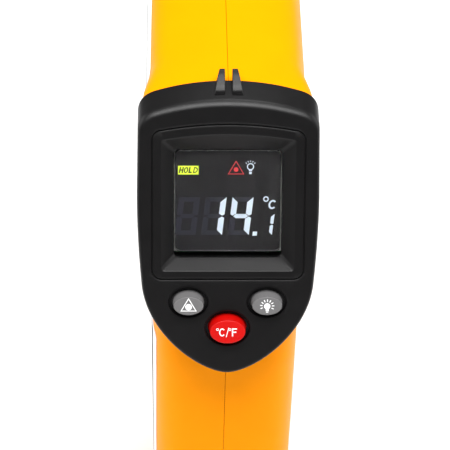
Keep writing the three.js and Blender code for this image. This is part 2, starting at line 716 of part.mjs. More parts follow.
function cell(x, low, nubUp) {
  const { radius, length, nub, y } = CELL;
  const can = nubUp ? [low, low + length] : [low + nub, low + nub + length];
  const tip = nubUp ? [low + length, low + length + nub] : [low, low + nub];
  return union(rodZ(radius, can, x, y), rodZ(1.9, [tip[0] - 0.1, tip[1] + 0.1], x, y, 16));
}

function coilAt(x, z, height) {
  const place = (a, b, h) => new THREE.Vector3(x + a, CELL.y + b, z + h);
  return wire(new Coil(3.6, 2.2, height, 2.5, place), 0.3, 24);
}

function buildCells() {
  const floor = CRADLE.bottom + 1.4 + GAP;
  const ceiling = CRADLE.top - 1.4 - GAP;
  const plate = 0.5;
  const [left, right] = [-CELL.x, CELL.x];
  add("battery_1", cell(left, floor + 4, true), CELL_WRAP);
  add("battery_2", cell(right, floor + plate + 0.5, false), CELL_WRAP);
  const strip = ([x0, x1], z) => box([x0, x1], [CELL.y - 4.6, CELL.y + 1.8], [z, z + plate]);
  const bridge = strip([left - 4, right + 4], floor);
  add("bridge_contact", bridge.add(coilAt(left, floor + plate, 2.9)), STEEL);
  add("positive_contact", strip([left - 4, left + 4], ceiling - plate), STEEL);
  const negative = strip([right - 4, right + 4], ceiling - plate);
  add("negative_contact", negative.add(coilAt(right, ceiling - plate - 3, 3.2)), STEEL);
}

// ---- Leads and screws ------------------------------------------------------------------
function buildLeads() {
  const lead = (name, points, look) => {
    const curve = new THREE.CatmullRomCurve3(points.map((p) => new THREE.Vector3(...p)));
    add(name, wire(curve, 0.6, 16), look);
  };
  const redLead = [[-5.7, 9, 67.6], [-6.5, 6, 72], [-7, 0, 82], [-5, 0, 94], [-4, 3, 101]];
  const blackLead = [[5.7, 9, 67.6], [6.5, 6, 72], [7, 0, 82], [5, 0, 94], [4, 3, 101]];
  lead("battery_lead_red", redLead, RED);
  lead("battery_lead_black", blackLead, BLACK);
  const laserLead = [[0, 53.4, 138.4], [0, 46, 139], [2, 38, 140], [3, 32.8, 131], [3, 28, 126]];
  const sensorLead = [[0, 36.2, 121], [0, 30, 121], [0, 25, 120], [0, 19, 118]];
  lead("laser_lead", laserLead, RED);
  lead("sensor_lead", sensorLead, GREY);
}

function buildScrews() {
  const { shank, head, headHeight, length, seat } = SCREW;
  POSTS.forEach(([y, z], i) => {
    const body = rodX(shank, [seat - length, seat + 0.1], y, z, 12);
    const top = rodX(head, [seat, seat + headHeight], y, z, 16);
    const slot = union(
      box([seat + 0.9, seat + 3], [y - 1.4, y + 1.4], [z - 0.3, z + 0.3]),
      box([seat + 0.9, seat + 3], [y - 0.3, y + 0.3], [z - 1.4, z + 1.4]),
    );
    add("housing_screw_" + (i + 1), body.add(top).subtract(slot), STEEL);
  });
}

buildHousing();
buildLabels();
buildBezel();
buildDisplay();
buildMainBoard();
buildKeys();
buildNose();
buildOptics();
buildTrigger();
buildSwitch();
buildDoor();
buildCradle();
buildCells();
buildLeads();
buildScrews();

export default thermometer;
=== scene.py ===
"""A pistol-shaped infrared thermometer: the looks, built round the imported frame.

Shapes are worked out in millimetres in the frame of the CAD model (+Y is the aiming
direction, +X the user's right, +Z up) and turned into metres when an object is made.
"""
import math

import bmesh
import bpy
import numpy as np
from mathutils import Matrix, Vector
from mathutils.bvhtree import BVHTree


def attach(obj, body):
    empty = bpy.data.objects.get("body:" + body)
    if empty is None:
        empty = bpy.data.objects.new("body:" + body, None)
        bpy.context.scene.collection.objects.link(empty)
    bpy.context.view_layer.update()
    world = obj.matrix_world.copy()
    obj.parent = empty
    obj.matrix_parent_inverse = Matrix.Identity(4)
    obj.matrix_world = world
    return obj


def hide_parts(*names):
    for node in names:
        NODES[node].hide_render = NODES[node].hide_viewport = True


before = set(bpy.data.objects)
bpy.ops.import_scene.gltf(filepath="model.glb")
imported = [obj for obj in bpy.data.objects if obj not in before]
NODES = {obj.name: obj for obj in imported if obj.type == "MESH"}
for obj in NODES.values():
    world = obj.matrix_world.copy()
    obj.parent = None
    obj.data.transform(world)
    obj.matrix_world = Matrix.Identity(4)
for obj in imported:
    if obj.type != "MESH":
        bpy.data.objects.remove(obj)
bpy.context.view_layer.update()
INSTRUMENT = "instrument"

# ---- Driving sizes, millimetres ---------------------------------------------------------
MM = 0.001  # metres in a millimetre
FACE_TILT = math.radians(35)
FACE_TIP = (0, -20, 97)  # the origin of places on the face
FACE_BOTTOM, FACE_MIDDLE, FACE_TOP = -1.75, 32, 64.5
BEZEL_HALF = 21.5
BEZEL_EDGE = 1.2
BEZEL_WALL = 2.2
GAP = 0.3
COLLAR_DEPTH = 7.9 * math.cos(FACE_TILT)  # where the housing starts, square to the face
COLLAR_INSET = 1
WALL = 2
SEAM = 0.05  # half of the gap between the housing halves
NOSE_Y, NOSE_HALF, NOSE_BOTTOM, NOSE_TOP, NOSE_FRONT = 71, 19.4, 104, 147, 77
HANDLE = [
    # height, half width, rear, front
    (0, 16.9, -23.9, 24.1),
    (25, 17.3, -22.2, 25),
    (55, 17.7, -18, 27),
    (80, 17.9, -14, 29.4),
    (96, 17.9, -11.8, 31),
    (112, 17.2, -8, 34),
]
KEY_RISE = 2.6
KEYS = {
    # place on the face, half sizes of the cap, half sizes of its hole
    "laser": ((-9.3, 16.35), (3.7, 2.6), (4.65, 3.7)),
    "backlight": ((9.3, 16.35), (3.7, 2.6), (4.65, 3.7)),
    "unit": ((0, 9.95), (4.35, 3.2), (5.3, 4.25)),
}
KEY_LIP = 1.4  # depth at which the keys' holes narrow
KEY_LEAN = 0.15
PRINT_LIFT, PRINT_TOP = 0.015, 0.05  # the signs' two sides above a key
GLASS_HALF, GLASS_BOTTOM, GLASS_TOP = 12.45, 28, 52.4
GLASS_DEPTH = 4.55
LABEL_LIFTS = (0.03, 0.16)  # a label's two sides above the housing
LABEL_PRINT_LIFTS = (0.18, 0.22)
OPTICS_Z, LASER_Z = 121, 138.4
LENS_Y, LENS_RADIUS, LENS_RIM, LENS_SAG = 65, 8.0, 0.6, 0.5
TRIGGER_HALF, TRIGGER_EDGE = 7, 0.9
TRIGGER_PIN_Y, TRIGGER_PIN_Z, TRIGGER_BORE = 36, 107.5, 1.06
POSTS = [(62, 108.4), (31, 138), (-3, 74), (-13, 15)]  # the screws' y and z
SCREW_SEAT = 11.2
DOOR_HALF, DOOR_BOTTOM, DOOR_TOP, DOOR_BACK = 11.8, 9, 67, 12
DOOR_PIN_Y, DOOR_PIN_Z = 20.5, 9

CORNER_ANGLES = [math.radians(a) for a in (0, 22.5, 45, 67.5, 90)]
TAN_TILT = math.tan(FACE_TILT)
FACE = Matrix(
    (
        (1, 0, 0, FACE_TIP[0]),
        (0, math.sin(FACE_TILT), -math.cos(FACE_TILT), FACE_TIP[1]),
        (0, math.cos(FACE_TILT), math.sin(FACE_TILT), FACE_TIP[2]),
        (0, 0, 0, 1),
    )
)


# ---- Camera, light and floor ------------------------------------------------------------
def look_from(place, target):
    """Rotation for a lamp at place that looks at target."""
    return (target - place).to_track_quat("-Z", "Y").to_matrix().to_4x4()


def make_camera():
    """The view over the display, rolled so that the object's X axis is level."""
    aim = FACE @ Vector((-0.75, 35.3, 0)) * MM
    azimuth, elevation, distance = math.radians(-2.6), math.radians(49), 0.5
    back = Vector(
        (
            math.sin(azimuth) * math.cos(elevation),
            -math.cos(azimuth) * math.cos(elevation),
            math.sin(elevation),
        )
    )
    right = Vector((1, 0, 0)) - back * back.x
    right.normalize()
    turned = Matrix((right, back.cross(right), back)).transposed()
    data = bpy.data.cameras.new("camera")
    data.lens = 170
    data.sensor_width = 36
    data.clip_start = 0.01
    camera = bpy.data.objects.new("camera", data)
    place = aim + back * distance
    camera.matrix_world = Matrix.Translation(place) @ turned.to_4x4()
    bpy.context.scene.collection.objects.link(camera)
    bpy.context.scene.camera = camera


def softbox(name, place, target, size, power, tint=(1, 1, 1)):
    data = bpy.data.lights.new(name, "AREA")
    data.shape = "RECTANGLE"
    data.size, data.size_y = size
    data.energy = power
    data.color = tint
    lamp = bpy.data.objects.new(name, data)
    place, target = Vector(place), Vector(target)
    lamp.matrix_world = Matrix.Translation(place) @ look_from(place, target)
    bpy.context.scene.collection.objects.link(lamp)


def make_light():
    head = (0, 0.02, 0.13)
    softbox("overhead", (0, -0.12, 0.8), head, (0.6, 0.3), 8)
    softbox("left_box", (-0.6, 0.1, 0.35), head, (0.5, 0.5), 2.4)
    softbox("right_box", (0.6, 0.1, 0.35), head, (0.5, 0.5), 2.4)
    softbox("back_box", (0.08, 0.4, 0.85), head, (0.3, 0.08), 1.6)
    softbox("low_box", (0, -0.7, 0.03), (0, 0, 0.06), (0.6, 0.12), 1.1)
    world = bpy.data.worlds.new("studio")
    world.use_nodes = True
    world.node_tree.nodes["Background"].inputs["Color"].default_value = (1, 1, 1, 1)
    world.node_tree.nodes["Background"].inputs["Strength"].default_value = 0.25
    bpy.context.scene.world = world
    bpy.context.scene.view_settings.view_transform = "Standard"


# ---- Materials --------------------------------------------------------------------------
def principled(name, **sockets):
    """A node material; each keyword is a Principled socket with its value."""
    made = bpy.data.materials.new(name)
    made.use_nodes = True
    shader = made.node_tree.nodes["Principled BSDF"]
    for key, value in sockets.items():
        socket = shader.inputs[key.replace("_", " ")]
        if hasattr(socket.default_value, "__len__") and len(value) == 3:
            value = (*value, 1)
        socket.default_value = value
    return made, made.node_tree, shader


def noise(tree, scale, detail=3, roughness=0.6):
    place = tree.nodes.new("ShaderNodeTexCoord")
    made = tree.nodes.new("ShaderNodeTexNoise")
    made.inputs["Scale"].default_value = scale
    made.inputs["Detail"].default_value = detail
    made.inputs["Roughness"].default_value = roughness
    tree.links.new(place.outputs["Object"], made.inputs["Vector"])
    return made.outputs["Fac"]


def ramp(tree, factor, low, high, dark, light):
    """A colour ramp from dark at low to light at high."""
    made = tree.nodes.new("ShaderNodeValToRGB")
    made.color_ramp.elements[0].position = low
    made.color_ramp.elements[1].position = high
    made.color_ramp.elements[0].color = (*dark, 1)
    made.color_ramp.elements[1].color = (*light, 1)
    tree.links.new(factor, made.inputs["Fac"])
    return made.outputs["Color"]


def spread(tree, factor, low, high):
    made = tree.nodes.new("ShaderNodeMapRange")
    made.inputs["To Min"].default_value = low
    made.inputs["To Max"].default_value = high
    tree.links.new(factor, made.inputs["Value"])
    return made.outputs["Result"]


def bump(tree, shader, height, strength, distance):
    made = tree.nodes.new("ShaderNodeBump")
    made.inputs["Strength"].default_value = strength
    made.inputs["Distance"].default_value = distance
    tree.links.new(height, made.inputs["Height"])
    tree.links.new(made.outputs["Normal"], shader.inputs["Normal"])


def shade(color, factor):
    return tuple(min(1, c * factor) for c in color)


def moulded(name, color, roughness, grain=5200, depth=0.00004, mottle=0.06, **sockets):
    """Moulded plastic or rubber: slight mottling, uneven gloss and a fine grain."""
    made, tree, shader = principled(name, **sockets)
    cloud = noise(tree, 90, 4)
    tint = ramp(tree, cloud, 0.3, 0.7, shade(color, 1 - mottle), shade(color, 1 + mottle))
    tree.links.new(tint, shader.inputs["Base Color"])
    uneven = spread(tree, noise(tree, 400, 5), roughness - 0.06, roughness + 0.06)
    tree.links.new(uneven, shader.inputs["Roughness"])
    bump(tree, shader, noise(tree, grain, 2, 0.7), 0.35, depth)
    return made


def metal(name, color, roughness, scratch=2500):
    made, tree, shader = principled(name, Metallic=1.0)
    tint = ramp(tree, noise(tree, 300, 4), 0.3, 0.7, shade(color, 0.85), shade(color, 1.1))
    tree.links.new(tint, shader.inputs["Base Color"])
    uneven = spread(tree, noise(tree, scratch, 6), roughness - 0.1, roughness + 0.12)
    tree.links.new(uneven, shader.inputs["Roughness"])
    bump(tree, shader, noise(tree, scratch, 4), 0.2, 0.00002)
    return made


def make_materials():
    looks = {
        "yellow": moulded(
            "yellow_plastic", (0.95, 0.288, 0.0), 0.42, mottle=0.02,
            Specular_IOR_Level=0.07, Specular_Tint=(1, 0.6, 0.03),
        ),
        "black": moulded(
            "black_plastic", (0.004, 0.0037, 0.0039), 0.36, mottle=0.15, Specular_IOR_Level=0.24
        ),
        "inner_black": moulded("inner_black", (0.006, 0.006, 0.006), 0.7),
        "grey_key": moulded("grey_key", (0.125, 0.122, 0.123), 0.5),
        "red_key": moulded("red_key", (0.5, 0.002, 0.001), 0.38, Specular_IOR_Level=0.25),
        "red": moulded("red_plastic", (0.55, 0.02, 0.01), 0.4),
        "rubber": moulded("silicone", (0.05, 0.05, 0.05), 0.8, grain=2500),
        "white": moulded("white_diffuser", (0.75, 0.75, 0.72), 0.5),
        "board": moulded("circuit_board", (0.015, 0.14, 0.045), 0.35, mottle=0.2),
        "label": moulded("label", (0.8, 0.8, 0.79), 0.4, mottle=0.02),
        "lens": moulded("infrared_lens", (0.22, 0.21, 0.19), 0.22, Coat_Weight=0.4),
        "steel": metal("steel", (0.62, 0.62, 0.61), 0.3),
        "spring": metal("spring_steel", (0.66, 0.66, 0.67), 0.25),
        "brass": metal("brass", (0.72, 0.5, 0.2), 0.3),
        "cell": moulded("cell_wrap", (0.03, 0.09, 0.33), 0.3),
        "grey": moulded("grey_lead", (0.35, 0.35, 0.35), 0.6),
        "panel": moulded(
            "lcd_panel", (0.024, 0.0235, 0.0245), 0.3, mottle=0.03, depth=0, Specular_IOR_Level=0.1
        ),
        "sign": moulded("white_print", (0.85, 0.85, 0.85), 0.5, mottle=0.02),
        "ghost": moulded("lcd_ghost", (0.019, 0.019, 0.03), 0.3),
    }
    looks["clear"] = principled(
        "clear_window", Base_Color=(1, 1, 1), Roughness=0.01, IOR=1.2, Transmission_Weight=1.0
    )[0]
    for key, color, power in (
        ("digit", (0.46, 0.53, 0.6), 0.52),
        ("badge", (0.55, 0.68, 0.04), 0.7),
        ("laser_sign", (0.45, 0.03, 0.035), 0.6),
    ):
        made = moulded("lcd_" + key, color, 0.4, mottle=0.03)
        shader = made.node_tree.nodes["Principled BSDF"]
        shader.inputs["Emission Color"].default_value = (*color, 1)
        shader.inputs["Emission Strength"].default_value = power
        looks[key] = made
    return looks


LOOKS = make_materials()


# ---- Objects ----------------------------------------------------------------------------
def make_object(name, data):
    made = bpy.data.objects.new(name, data)
    bpy.context.scene.collection.objects.link(made)
    return made


def dress(piece, look, body=INSTRUMENT, replaced=()):
    """Gives a finished piece its material, its body and the nodes it stands for."""
    piece.data.materials.clear()
    piece.data.materials.append(LOOKS[look])
    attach(piece, body)
    if replaced:
        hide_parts(*replaced)
    return piece


def crease(piece, degrees=32):
    """Smooth shading that stays sharp across edges of more than the given angle."""
    piece.data.shade_smooth()
    piece.data.set_sharp_from_angle(angle=math.radians(degrees))
    modifier = piece.modifiers.new("normals", "WEIGHTED_NORMAL")
    modifier.keep_sharp = True
    return piece


def bake(piece):
    """Turns the piece's modifiers into its mesh."""
    graph = bpy.context.evaluated_depsgraph_get()
    mesh = bpy.data.meshes.new_from_object(piece.evaluated_get(graph))
    piece.modifiers.clear()
    piece.data = mesh
    return piece


def boolean(piece, cutter, operation="DIFFERENCE"):
    modifier = piece.modifiers.new("boolean", "BOOLEAN")
    modifier.solver = "MANIFOLD"
    modifier.operation = operation
    modifier.object = cutter
    bake(piece)
    bpy.data.objects.remove(cutter)
    return piece


def copy_of(piece, name):
    made = piece.copy()
    made.data = piece.data.copy()
    made.name = name
    bpy.context.scene.collection.objects.link(made)
    return made


class Skin:
    """A mesh made of loops of points, bridged and filled."""

    def __init__(self):
        self.bm = bmesh.new()

    def ring(self, points):
        return [self.bm.verts.new(Vector(p) * MM) for p in points]

    def bridge(self, first, second):
        count = len(first)
        for i in range(count):
            j = (i + 1) % count
            face = self.bm.faces.new((first[i], first[j], second[j], second[i]))
            face.smooth = True

    def strip(self, first, second):
        """Faces between two open rows."""
        for i in range(len(first) - 1):
            face = self.bm.faces.new((first[i], first[i + 1], second[i + 1], second[i]))
            face.smooth = True

    def rows(self, loops):
        """Bridges loops one after another, and returns the first and last ring."""
        rings = [self.ring(points) for points in loops]
        for first, second in zip(rings, rings[1:]):
            self.bridge(first, second)
        return rings[0], rings[-1]

    def fill(self, outer, *holes):
        """A flat face inside outer, with holes."""
        if not holes:
            self.bm.faces.new(outer)
            return
        edges = []
        for loop in (outer, *holes):
            for a, b in zip(loop, loop[1:] + loop[:1]):
                edges.append(self.bm.edges.get((a, b)) or self.bm.edges.new((a, b)))
        bmesh.ops.triangle_fill(self.bm, use_beauty=True, use_dissolve=False, edges=edges)

    def object(self, name):
        bmesh.ops.recalc_face_normals(self.bm, faces=self.bm.faces)
        mesh = bpy.data.meshes.new(name)
        self.bm.to_mesh(mesh)
        self.bm.free()
        return make_object(name, mesh)


def lofted(name, loops):
    """A closed solid through loops of points."""
    skin = Skin()
    first, last = skin.rows(loops)
    skin.fill(first)
    skin.fill(last)
    return skin.object(name)


def block(name, x, y, z):
    corners = [(x[i], y[j]) for i, j in ((0, 0), (1, 0), (1, 1), (0, 1))]
    return lofted(name, [[(a, b, h) for a, b in corners] for h in z])


def circle(radius, count=48, centre=(0, 0)):
    angles = [2 * math.pi * i / count for i in range(count)]
    return [(centre[0] + radius * math.cos(t), centre[1] + radius * math.sin(t)) for t in angles]


def along_x(loop, x):
    return [(x, a, b) for a, b in loop]


def along_y(loop, y):
    return [(a, y, b) for a, b in loop]


def rod_x(name, radius, x0, x1, y, z, count=40):
    return lofted(name, [along_x(circle(radius, count, (y, z)), x) for x in (x0, x1)])


# ---- Outlines ---------------------------------------------------------------------------
def bezier(points, count):
    """Points of a Bezier curve of any order, without its last one."""
    made = []
    for i in range(count):
        row = [Vector(p) for p in points]
        while len(row) > 1:
            row = [a.lerp(b, i / count) for a, b in zip(row, row[1:])]
        made.append(tuple(row[0]))
    return made


def arc(centre, radius, start, end, count):
    made = []
    for i in range(count + 1):
        t = math.radians(start + (end - start) * i / count)
        made.append((centre[0] + radius * math.cos(t), centre[1] + radius * math.sin(t)))
    return made


def shield_half():
    w = BEZEL_HALF
    return (
        bezier([(0, FACE_BOTTOM), (6.2, FACE_BOTTOM), (18.6, 7), (20.35, 19)], 26)
        + bezier([(20.35, 19), (20.9, 24.5), (w, 33), (w, 41)], 10)
        + bezier([(w, 41), (w - 0.2, 57.2)], 8)
        + bezier([(w - 0.2, 57.2), (w - 0.3, 60.9), (w - 4.4, 62.1)], 12)
        + bezier([(w - 4.4, 62.1), (9, FACE_TOP), (0, FACE_TOP)], 16)
        + [(0, FACE_TOP)]
    )


SHIELD_HALF = shield_half()
SHIELD = SHIELD_HALF + [(-x, y) for x, y in reversed(SHIELD_HALF[1:-1])]


def inset(loop, distance):
    """The loop moved inwards; a negative distance moves it outwards."""
    made = []
    for before, here, after in zip(loop[-1:] + loop[:-1], loop, loop[1:] + loop[:1]):
        along = Vector(after) - Vector(before)
        along.normalize()
        made.append((here[0] - distance * along.y, here[1] + distance * along.x))
    return made


def window_loop(half, bottom, top, sag, r, count=9):
    """A rounded rectangle whose top is crowned by sag."""
    low, high = bottom + r, top - sag - r
    return (
        arc((half - r, low), r, -90, 0, count)
        + arc((half - r, high), r, 0, 90, count)
        + bezier([(half - r, top - sag), (0, top + sag), (r - half, top - sag)], 14)[1:]
        + arc((r - half, high), r, 90, 180, count)
        + arc((r - half, low), r, 180, 270, count)
    )


def ellipse_loop(centre, half, count=72):
    angles = [2 * math.pi * i / count for i in range(count)]
    return [
        (centre[0] + half[0] * math.cos(t), centre[1] + half[1] * math.sin(t)) for t in angles
    ]


def mixed(first, second, share):
    return [tuple(Vector(a).lerp(Vector(b), share)) for a, b in zip(first, second)]


def on_face(loop, depth=0.0, slanted=False):
    """Points of a loop at a depth below the face; a slanted wall runs along Y."""
    shift = depth * TAN_TILT if slanted else 0
    return [FACE @ Vector((x, y + shift, -depth)) for x, y in loop]


def quarter(radius, steps):
    """Inset and depth of points round an edge, from the flat to the wall."""
    angles = [math.pi / 2 * (1 - k / steps) for k in range(steps + 1)]
    return [(radius * (1 - math.cos(t)), radius * (1 - math.sin(t))) for t in angles]


# ---- Display bezel ----------------------------------------------------------------------
def build_bezel():
    skin = Skin()
    back = COLLAR_DEPTH - GAP
    plate = BEZEL_WALL
    rows = [on_face(inset(SHIELD, i), d, True) for i, d in quarter(BEZEL_EDGE, 9)]
    rows += [on_face(inset(SHIELD, i), back - d, True) for i, d in reversed(quarter(0.3, 3))]
    rows.append(on_face(inset(SHIELD, BEZEL_WALL), back, True))
    rows.append(on_face(inset(SHIELD, BEZEL_WALL), plate, True))
    rim, under = skin.rows(rows)

    groove = window_loop(18.25, 21.7, 59.7, 1.4, 2.7)
    section = [
        (-0.25, 0), (-0.1, -0.07), (0.02, -0.08), (0.12, -0.04), (0.2, 0.1), (0.22, 0.4),
        (0.43, 0.4), (0.45, 0.1), (0.53, -0.04), (0.63, -0.08), (0.75, -0.07), (0.9, 0),
    ]
    groove_out, groove_in = skin.rows([on_face(inset(groove, i), d) for i, d in section])

    top = window_loop(15.9, 24, 57, 1.3, 1)
    foot = window_loop(12.75, 26.7, 52.8, 0.05, 1.2)
    funnel = [
        (-0.07, 0), (-0.03, 0.012), (0.002, 0.05), (0.03, 0.105), (0.055, 0.17),
        (0.5, 1.5), (0.94, 2.82), (0.975, 2.95), (0.993, 3.06), (1, 3.2), (1, 4.1),
    ]
    rows = [on_face(mixed(top, foot, share), depth) for share, depth in funnel]
    rows.append(on_face(window_loop(17.9, 22, 58.6, 1.2, 1.5), 4.1))
    rows.append(on_face(window_loop(17.9, 22, 58.6, 1.2, 1.5), plate))
    recess, block_top = skin.rows(rows)

    holes, lower = [], []
    for centre, cap, hole in KEYS.values():
        section = [(-0.3, 0), (-0.14, 0.03), (-0.04, 0.12), (0, 0.3), (0, KEY_LIP)]
        rows = [on_face(inset(ellipse_loop(centre, hole), i), d) for i, d in section]
        lip = ellipse_loop(centre, [half + GAP for half in cap])
        rows += [on_face(lip, KEY_LIP), on_face(lip, plate)]
        first, last = skin.rows(rows)
        holes.append(first)
        lower.append(last)
    skin.fill(rim, groove_out, *holes)
    skin.fill(groove_in, recess)
    skin.fill(under, block_top, *lower)
    bezel = crease(skin.object("bezel"), 40)
    dress(bezel, "black", replaced=("display_bezel",))
    for sign, name in ((-1, "sight_fin_left"), (1, "sight_fin_right")):
        build_fin(name, sign)


def build_fin(name, sign):
    """A low wedge, upright on its inner side, that rises towards the front."""
    inner = 0.87
    stations = [
        # y, outer side at the foot, outer side at the top, foot z, top z
        (19.5, 3.45, 3.3, 148.8, 149.75),
        (19.7, 3.5, 3.3, 148.8, 150.3),
        (20.2, 3.5, 3.2, 148.8, 150.85),
        (21.5, 3.35, 2.95, 148.8, 151.5),
        (23.5, 3.05, 2.55, 148.8, 152.35),
        (24.6, 2.85, 2.3, 149.35, 152.75),
        (25.3, 2.7, 2.15, 149.4, 152.75),
        (25.75, 2.5, 2.0, 149.6, 152.2),
    ]
    loops = []
    for y, foot, outer, low, high in stations:
        profile = [(inner, low), (foot, low), (outer, high - 0.12), (outer - 0.15, high),
                   (inner + 0.12, high), (inner, high - 0.12)]
        loops.append([(sign * x, y, z) for x, z in profile])
    fin = crease(lofted(name, loops), 28)
    dress(fin, "black")


# ---- Keys -------------------------------------------------------------------------------
def key_top(name):
    """The outline of a key's flat top, a little lower on the face than its foot."""
    (x, y), half, _ = KEYS[name]
    return ellipse_loop((x, y - KEY_LEAN), (half[0] - 0.15, half[1] - 0.35))


def build_key(name, look):
    centre, half, hole = KEYS[name]
    cap = ellipse_loop(centre, half)
    top = key_top(name)
    flange = ellipse_loop(centre, [h + 0.4 for h in hole])
    rows = [on_face(flange, 3.5), on_face(flange, 2.6), on_face(inset(cap, -0.3), 2.5)]
    rows += [on_face(cap, 2.2), on_face(cap, 0.1), on_face(mixed(cap, top, 0.04), -0.2)]
    edge = 0.22
    rows.append(on_face(mixed(cap, top, 0.9), edge - KEY_RISE - 0.12))
    rows += [on_face(inset(top, i), d - KEY_RISE) for i, d in reversed(quarter(edge, 4))]
    key = crease(lofted(name + "_key", rows), 50)
    body = name + "_button"
    dress(key, look, body, replaced=(body,))


def plate_loops(loop, low, high):
    return [on_face(loop, -low), on_face(loop, -high)]


def flat_sign(name, loops, look, body, low=KEY_RISE + PRINT_LIFT, high=KEY_RISE + PRINT_TOP):
    """Print on a surface: separate thin outlines, each a loop or a loop with one hole."""
    skin = Skin()
    for shape in loops:
        outer, inner = shape if isinstance(shape, tuple) else (shape, None)
        first, last = skin.rows(plate_loops(outer, low, high))
        if inner is None:
            skin.fill(first)
            skin.fill(last)
        else:
            hole_low, hole_high = skin.rows(plate_loops(inner, low, high))
            skin.fill(first, hole_low)
            skin.fill(last, hole_high)
    dress(skin.object(name), look, body)


def bar(start, end, width):
    """A straight stroke."""
    along = (Vector(end) - Vector(start)).normalized()
    side = Vector((-along.y, along.x)) * width / 2
    a, b = Vector(start), Vector(end)
    return [tuple(a - side), tuple(b - side), tuple(b + side), tuple(a + side)]


def triangle_sign(centre, base, height, stroke):
    """An outlined triangle: its outer and inner outlines."""
    x, y = centre
    half, low = base / 2, y - height / 2
    outer = [(x - half, low), (x + half, low), (x, low + height)]
    side = math.hypot(half, height)
    radius = half * height / (half + side)
    middle = (x, low + radius)
    share = 1 - stroke / radius
    return outer, [mixed([middle], [p], share)[0] for p in outer]


def bulb_outline(centre, radius, neck, foot, count=28):
    """A lamp's outline: a ball that narrows into a neck of half width neck."""
    x, y = centre
    open_angle = math.degrees(math.asin(neck / radius))
    ball = arc((x, y), radius, -90 + open_angle, 270 - open_angle, count)
    return ball + [(x - neck, foot), (x + neck, foot)]


def rays(centre, inner, outer, angles, width):
    made = []
    for angle in angles:
        t = math.radians(angle)
        way = Vector((math.cos(t), math.sin(t)))
        start = Vector(centre) + way * inner
        made.append(bar(start, Vector(centre) + way * outer, width))
    return made


def letter_c(x, y, height, width, stroke, slant=0.0):
    """The letter C as one outline."""
    centre = (x + width / 2, y + height / 2)
    made = []
    outer = (width / 2, height / 2)
    for half, turn in ((outer, 1), ((outer[0] - stroke, outer[1] - stroke), -1)):
        angles = [42 + (318 - 42) * i / 20 for i in range(21)][::turn]
        for angle in angles:
            t = math.radians(angle)
            made.append((centre[0] + half[0] * math.cos(t), centre[1] + half[1] * math.sin(t)))
    return slanted(made, slant, y)


def slanted(loop, slant, base):
    return [(a + (b - base) * slant, b) for a, b in loop]


def letter_f(x, y, height, width, stroke):
    middle = y + height * 0.52
    return [
        (x, y), (x + stroke, y), (x + stroke, middle - stroke / 2),
        (x + width * 0.86, middle - stroke / 2), (x + width * 0.86, middle + stroke / 2),
        (x + stroke, middle + stroke / 2), (x + stroke, y + height - stroke),
        (x + width, y + height - stroke), (x + width, y + height), (x, y + height),
    ]


def build_keys():
    build_key("laser", "grey_key")
    build_key("backlight", "grey_key")
    build_key("unit", "red_key")
    (x, y), _, _ = KEYS["laser"]
    y -= KEY_LEAN
    triangle = triangle_sign((x, y + 0.35), 3.9, 3.3, 0.2)
    ball = circle(0.78, 28, (x, y - 0.25))
    flat_sign("laser_key_sign", [triangle, ball], "sign", "laser_button")
    (x, y), _, _ = KEYS["backlight"]
    y -= KEY_LEAN
    lamp = bulb_outline((x, y - 0.05), 0.74, 0.36, y - 1.3)
    foot = bar((x - 0.28, y - 1.52), (x + 0.28, y - 1.52), 0.18)
    beams = rays((x, y - 0.05), 1.1, 1.68, range(-24, 205, 28), 0.22)
    flat_sign("backlight_key_sign", [lamp, foot, *beams], "sign", "backlight_button")
    (x, y), _, _ = KEYS["unit"]
    low = y - KEY_LEAN - 1.05
    tall = 1.95
    rings = []
    for place in (x - 2.42, x + 0.52):
        centre = (place, low + tall - 0.28)
        rings.append((circle(0.32, 20, centre), circle(0.17, 20, centre)))
    marks = [
        *rings,
        letter_c(x - 2.05, low, tall, 1.5, 0.29),
        bar((x - 0.35, low - 0.25), (x + 0.25, low + tall + 0.2), 0.17),
        letter_f(x + 1.0, low, tall, 1.2, 0.29),
    ]
    flat_sign("unit_key_sign", marks, "sign", "unit_button")


# ---- Display ----------------------------------------------------------------------------
DIGIT_SLANT = 0.116


def segment_loops(x, y, width, height, thick, names):
    """Seven-segment strokes of one digit: b and c on the right, f and e on the left."""
    w, h, t = width, height, thick
    upper = [(w, h), (w, h / 2 + 0.33 * t), (w - 0.42 * t, h / 2 + 0.1 * t),
             (w - t, h / 2 + 0.45 * t), (w - t, h - 0.9 * t)]
    lower = [(w, 0), (w, h / 2 - 0.33 * t), (w - 0.42 * t, h / 2 - 0.1 * t),
             (w - t, h / 2 - 0.45 * t), (w - t, 0.9 * t)]
    bar_half = 0.38 * t
    middle = [(0.55 * t, h / 2), (t, h / 2 + bar_half), (w - t, h / 2 + bar_half),
              (w - 0.55 * t, h / 2), (w - t, h / 2 - bar_half), (t, h / 2 - bar_half)]
    top = [(0.12 * t, h), (w - 0.12 * t, h), (w - 0.95 * t, h - 0.8 * t), (0.95 * t, h - 0.8 * t)]
    shapes = {
        "a": top,
        "b": upper,
        "c": lower,
        "d": [(a, h - b) for a, b in top],
        "e": [(w - a, b) for a, b in lower],
        "f": [(w - a, b) for a, b in upper],
        "g": middle,
    }
    return [slanted([(x + a, y + b) for a, b in shapes[n]], DIGIT_SLANT, y) for n in names]


def panel_point(u, v):
    """A place on the glass from its lower left corner."""
    return (u - GLASS_HALF, GLASS_BOTTOM + v)


def lcd_sign(name, loops, look, lift=0.0):
    low = -GLASS_DEPTH + 0.02 + lift
    flat_sign(name, loops, look, INSTRUMENT, low, low + 0.03)


